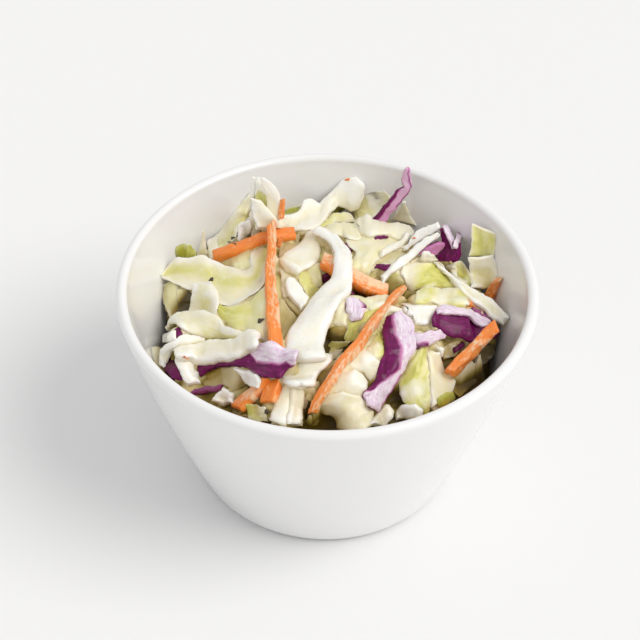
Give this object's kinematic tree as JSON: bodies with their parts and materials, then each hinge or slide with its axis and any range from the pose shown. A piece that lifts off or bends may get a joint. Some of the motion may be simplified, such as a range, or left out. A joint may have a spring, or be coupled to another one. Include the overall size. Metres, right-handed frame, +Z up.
{
  "type": "bowl of coleslaw",
  "caption": "Small plain white tapered side bowl with a rounded lip, heaped with creamy coleslaw of white and green cabbage, carrot sticks and red cabbage strips.",
  "frame": {"origin": "centre of the bowl's foot, on the table", "axes": "+Z up through the middle of the bowl; -Y towards the side the bowl is shown from, +X to that view's right"},
  "size_m": [0.11, 0.11, 0.0685],
  "materials": {
    "bowl_glaze": "white glaze, glossy",
    "cabbage": "moist food, coated in a thin creamy dressing",
    "carrot": "moist carrot sticks with a thin creamy film",
    "red_cabbage": "moist dark purple skin with lilac cut faces"
  },
  "bodies": {
    "root": {"bowl": "bowl_glaze", "slaw": "cabbage"}
  },
  "joints": []
}
